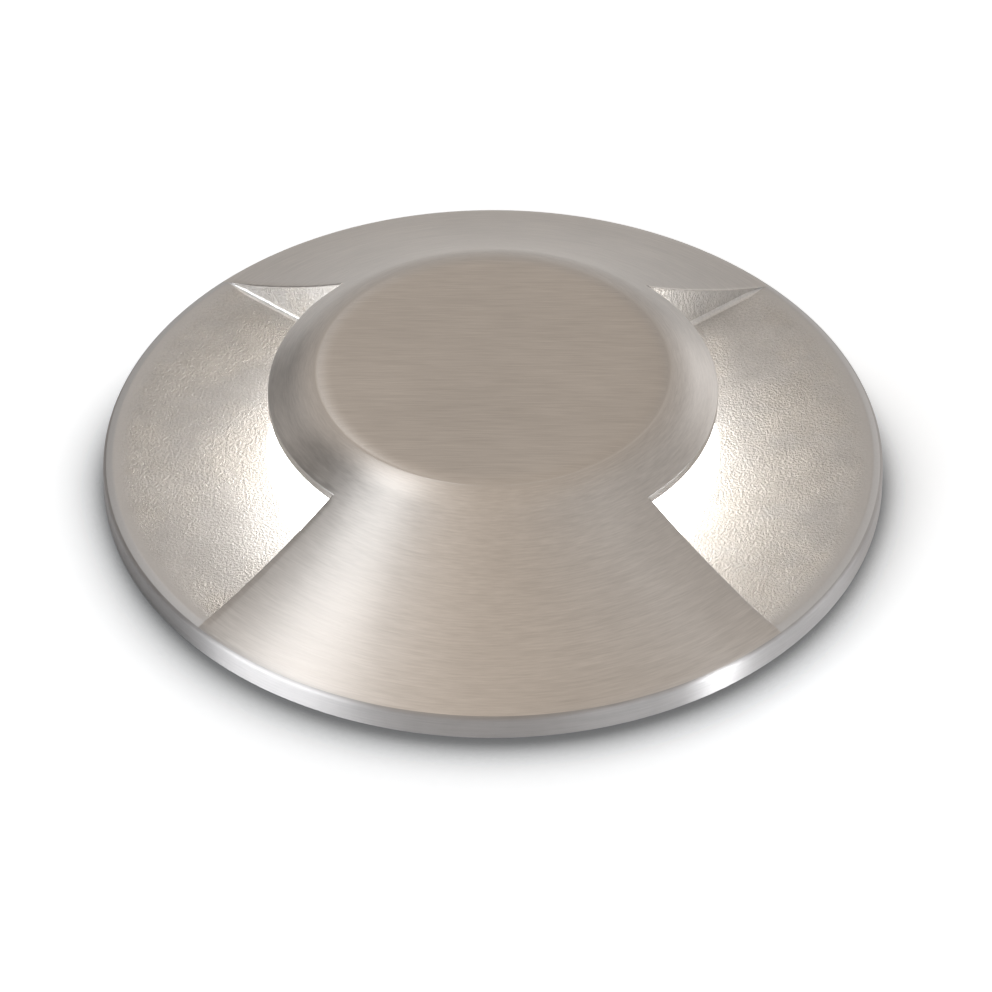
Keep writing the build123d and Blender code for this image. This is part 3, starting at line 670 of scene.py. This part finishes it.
def groundFinish():
    finish, tree, shader = newFinish("whiteGround", ground["colour"], 0.0, ground["roughness"])
    shader.inputs["Specular IOR Level"].default_value = 0.0
    # Painted contact shadow: ambient occlusion darkens the floor's colour and glow
    contact = addNode(tree, "ShaderNodeAmbientOcclusion", samples=ground["shadowSamples"])
    contact.inputs["Distance"].default_value = ground["shadowReach"] * mm
    place = objectPlace(tree)
    inward = vectors(tree, "NORMALIZE", vectors(tree, "MULTIPLY", place, (-1, -1, 0)))
    leaning = vectors(tree, "ADD", vectors(tree, "SCALE", inward, ground["shadowLean"]), (0, 0, 1))
    # Leaning in makes the painted shadow wide
    feed(tree, contact.inputs["Normal"], vectors(tree, "NORMALIZE", leaning))
    shade = remap(tree, contact.outputs["AO"], *ground["shadowRange"])
    ray = addNode(tree, "ShaderNodeLightPath")
    rightward, backward, _ = splitXyz(tree, place)
    near, far = (distance * mm for distance in ground["shadowBack"])
    plainFloor = remap(tree, backward, near, far, smooth=True)
    left, right = (distance * mm for distance in ground["mirrorLeft"])
    slanted = sums(tree, "MULTIPLY_ADD", backward, ground["mirrorSlant"], rightward)
    leftOut = remap(tree, slanted, left, right, smooth=True)
    unshaded = sums(tree, "MULTIPLY", leftOut, ray.outputs["Is Glossy Ray"])
    plainFloor = sums(tree, "MAXIMUM", plainFloor, unshaded)
    start, end = (distance * mm for distance in ground["shadowFront"])
    power = remap(tree, backward, end, start, ground["frontPower"], ground["sidePower"], smooth=True)
    shade = sums(tree, "POWER", shade, power)
    shade = sums(tree, "MAXIMUM", shade, ground["darkest"])
    shade = blendOf(tree, "FLOAT", plainFloor, shade, 1.0)
    feed(tree, shader.inputs["Base Color"], vectors(tree, "SCALE", ground["colour"], shade))
    mirrored = sums(tree, "MAXIMUM", ray.outputs["Is Glossy Ray"], ray.outputs["Is Transmission Ray"])
    seen = sums(tree, "MULTIPLY", ray.outputs["Is Camera Ray"], ground["lift"])
    seen = sums(tree, "MAXIMUM", seen, sums(tree, "MULTIPLY", mirrored, ground["mirrorLift"]))
    shader.inputs["Emission Color"].default_value = (1, 1, 1, 1)
    feed(tree, shader.inputs["Emission Strength"], sums(tree, "MULTIPLY", seen, shade))
    return finish


groundBm = groundMesh()
groundMeshData = bpy.data.meshes.new("ground")
groundBm.to_mesh(groundMeshData)
groundBm.free()
groundPiece = bpy.data.objects.new("ground", groundMeshData)
scene.collection.objects.link(groundPiece)
groundMeshData.materials.append(groundFinish())


# Studio light: a pale room, dark to the left and bright low down to the right, and a few softboxes
room = dict(
    low=0.47, high=0.64, front=0.045, lean=0.19, crown=0.2, dark=0.95, side=0.95, frontDark=0.9,
    wallTint=(1.0, 0.98, 0.97), roofTint=(1.0, 0.88, 0.765), sideTint=0.4, lampTint=(0.95, 0.985, 1.02),
    # Spans of the direction, to the right, to the back or up, over which these change
    levelUp=(0.05, 1.0), leanUp=(0.5, 0.65), crownRight=(-0.22, -0.06), crownUp=(0.75, 0.9),
    frontBack=(-0.1, 0.35), lowUp=(0.15, 0.5), darkRight=(-0.52, -0.33), darkBack=(0.3, 0.5), darkShare=0.85,
    glowRight=(0.25, 0.6), frontDarkBack=(-0.1, 0.2), glowBack=(0.2, 0.6), tintAside=(0.12, 0.5),
    tintUp=(0.3, 0.6),
)
softboxes = {  # name: aimed at, azimuth, elevation, roll, distance, width, height, radiance
    "overheadLeft": ((0, 0, 0), 170, 65, -18, 0.9, 0.6, 0.2, 1.8),
    "keyLeft": ((0, 0, 0), 216, 9, 0, 0.9, 0.65, 0.27, 8.8),
    "glintLeft": (polar(coverRadius, 2.0, math.radians(240)), 212, 1, 0, 0.06, 0.05, 0.003, 26.0),
    "fillFront": (polar(coverRadius, 2.0, math.radians(288)), 306, 1, 0, 0.07, 0.05, 0.003, 14.0),
    "fillRight": (polar(coverRadius, 2.0, math.radians(312)), 354, 1, 0, 0.07, 0.09, 0.003, 16.0),
    "glintRight": (polar(coverRadius, 2.0, math.radians(302)), 334, 1, 0, 0.04, 0.009, 0.003, 110.0),
}
world = bpy.data.worlds.new("studio")
scene.world = world
world.use_nodes = True
roomTree = world.node_tree
toRight, toBack, toTop = splitXyz(roomTree, addNode(roomTree, "ShaderNodeTexCoord").outputs["Generated"])


def roomSpan(value, span, start=0.0, end=1.0, smooth=True):
    return remap(roomTree, value, *room[span], start, end, smooth)


level = roomSpan(toTop, "levelUp", room["low"], room["high"], False)
lean = sums(roomTree, "MULTIPLY", toRight, roomSpan(toTop, "leanUp", 0.0, -room["lean"], False))
crown = sums(roomTree, "MULTIPLY", roomSpan(toRight, "crownRight", room["crown"], 0.0),
             roomSpan(toTop, "crownUp"))
front = roomSpan(toBack, "frontBack", room["front"], 0.0)
level = sums(roomTree, "ADD", sums(roomTree, "ADD", level, lean), sums(roomTree, "ADD", crown, front))
lowDown = roomSpan(toTop, "lowUp", 1.0, 0.0)
leftShade = roomSpan(toRight, "darkRight", room["dark"], 0.0)
frontHalf = roomSpan(toBack, "darkBack", room["darkShare"], 0.0)
leftShade = sums(roomTree, "MULTIPLY", leftShade, sums(roomTree, "MAXIMUM", lowDown, frontHalf))
right = sums(roomTree, "MULTIPLY", lowDown, roomSpan(toRight, "glowRight"))
rightShade = sums(roomTree, "MULTIPLY", right, roomSpan(toBack, "frontDarkBack", room["frontDark"], 0.0))
rightGlow = sums(roomTree, "MULTIPLY", right, roomSpan(toBack, "glowBack", 0.0, room["side"]))
shade = sums(roomTree, "MAXIMUM", leftShade, rightShade)
level = sums(roomTree, "MULTIPLY_ADD", level, sums(roomTree, "SUBTRACT", 1.0, shade), rightGlow)
backdrop = roomTree.nodes["Background"]
feed(roomTree, backdrop.inputs["Strength"], level)
sideways = roomSpan(sums(roomTree, "ABSOLUTE", toRight), "tintAside", 1.0, room["sideTint"], False)
warmth = sums(roomTree, "MULTIPLY", roomSpan(toTop, "tintUp", smooth=False), sideways)
tint = blendOf(roomTree, "RGBA", warmth, (*room["wallTint"], 1), (*room["roofTint"], 1))
feed(roomTree, backdrop.inputs["Color"], tint)
for name, (target, azimuth, elevation, roll, distance, width, height, radiance) in softboxes.items():
    lamp = bpy.data.lights.new(name, "AREA")
    lamp.shape = "RECTANGLE"
    lamp.size = width
    lamp.size_y = height
    lamp.energy = radiance * math.pi * width * height
    lamp.color = room["lampTint"]
    softbox = bpy.data.objects.new(name, lamp)
    rise, turn = math.radians(elevation), math.radians(azimuth)
    flat = distance * math.cos(rise)
    away = Vector((flat * math.cos(turn), flat * math.sin(turn), distance * math.sin(rise)))
    softbox.location = Vector(target) + away
    aim = away.to_track_quat("Z", "Y") @ Quaternion((0, 0, 1), math.radians(roll))
    softbox.rotation_euler = aim.to_euler()
    softbox.visible_camera = False
    scene.collection.objects.link(softbox)
print("softboxes", len(softboxes))


# Camera: fitted to the rim, the cap and the recess corners of the light
view = dict(elevation=41.18, distance=900.0, aimX=0.42, aimZ=-4.45, turn=0.73, lens=230.0, sensor=36.0,
            farthest=50)
cameraData = bpy.data.cameras.new("camera")
cameraData.lens = view["lens"]
cameraData.sensor_width = view["sensor"]
cameraData.clip_end = view["farthest"]
camera = bpy.data.objects.new("camera", cameraData)
tilt, swing = math.radians(view["elevation"]), math.radians(view["turn"])
back, lift = view["distance"] * math.cos(tilt), view["distance"] * math.sin(tilt)
camera.location = polar(back, view["aimZ"] + lift, swing - math.pi / 2) + polar(view["aimX"], 0, swing)
camera.rotation_euler = (math.pi / 2 - tilt, 0, swing)
scene.collection.objects.link(camera)
scene.camera = camera
scene.view_settings.view_transform = "Standard"
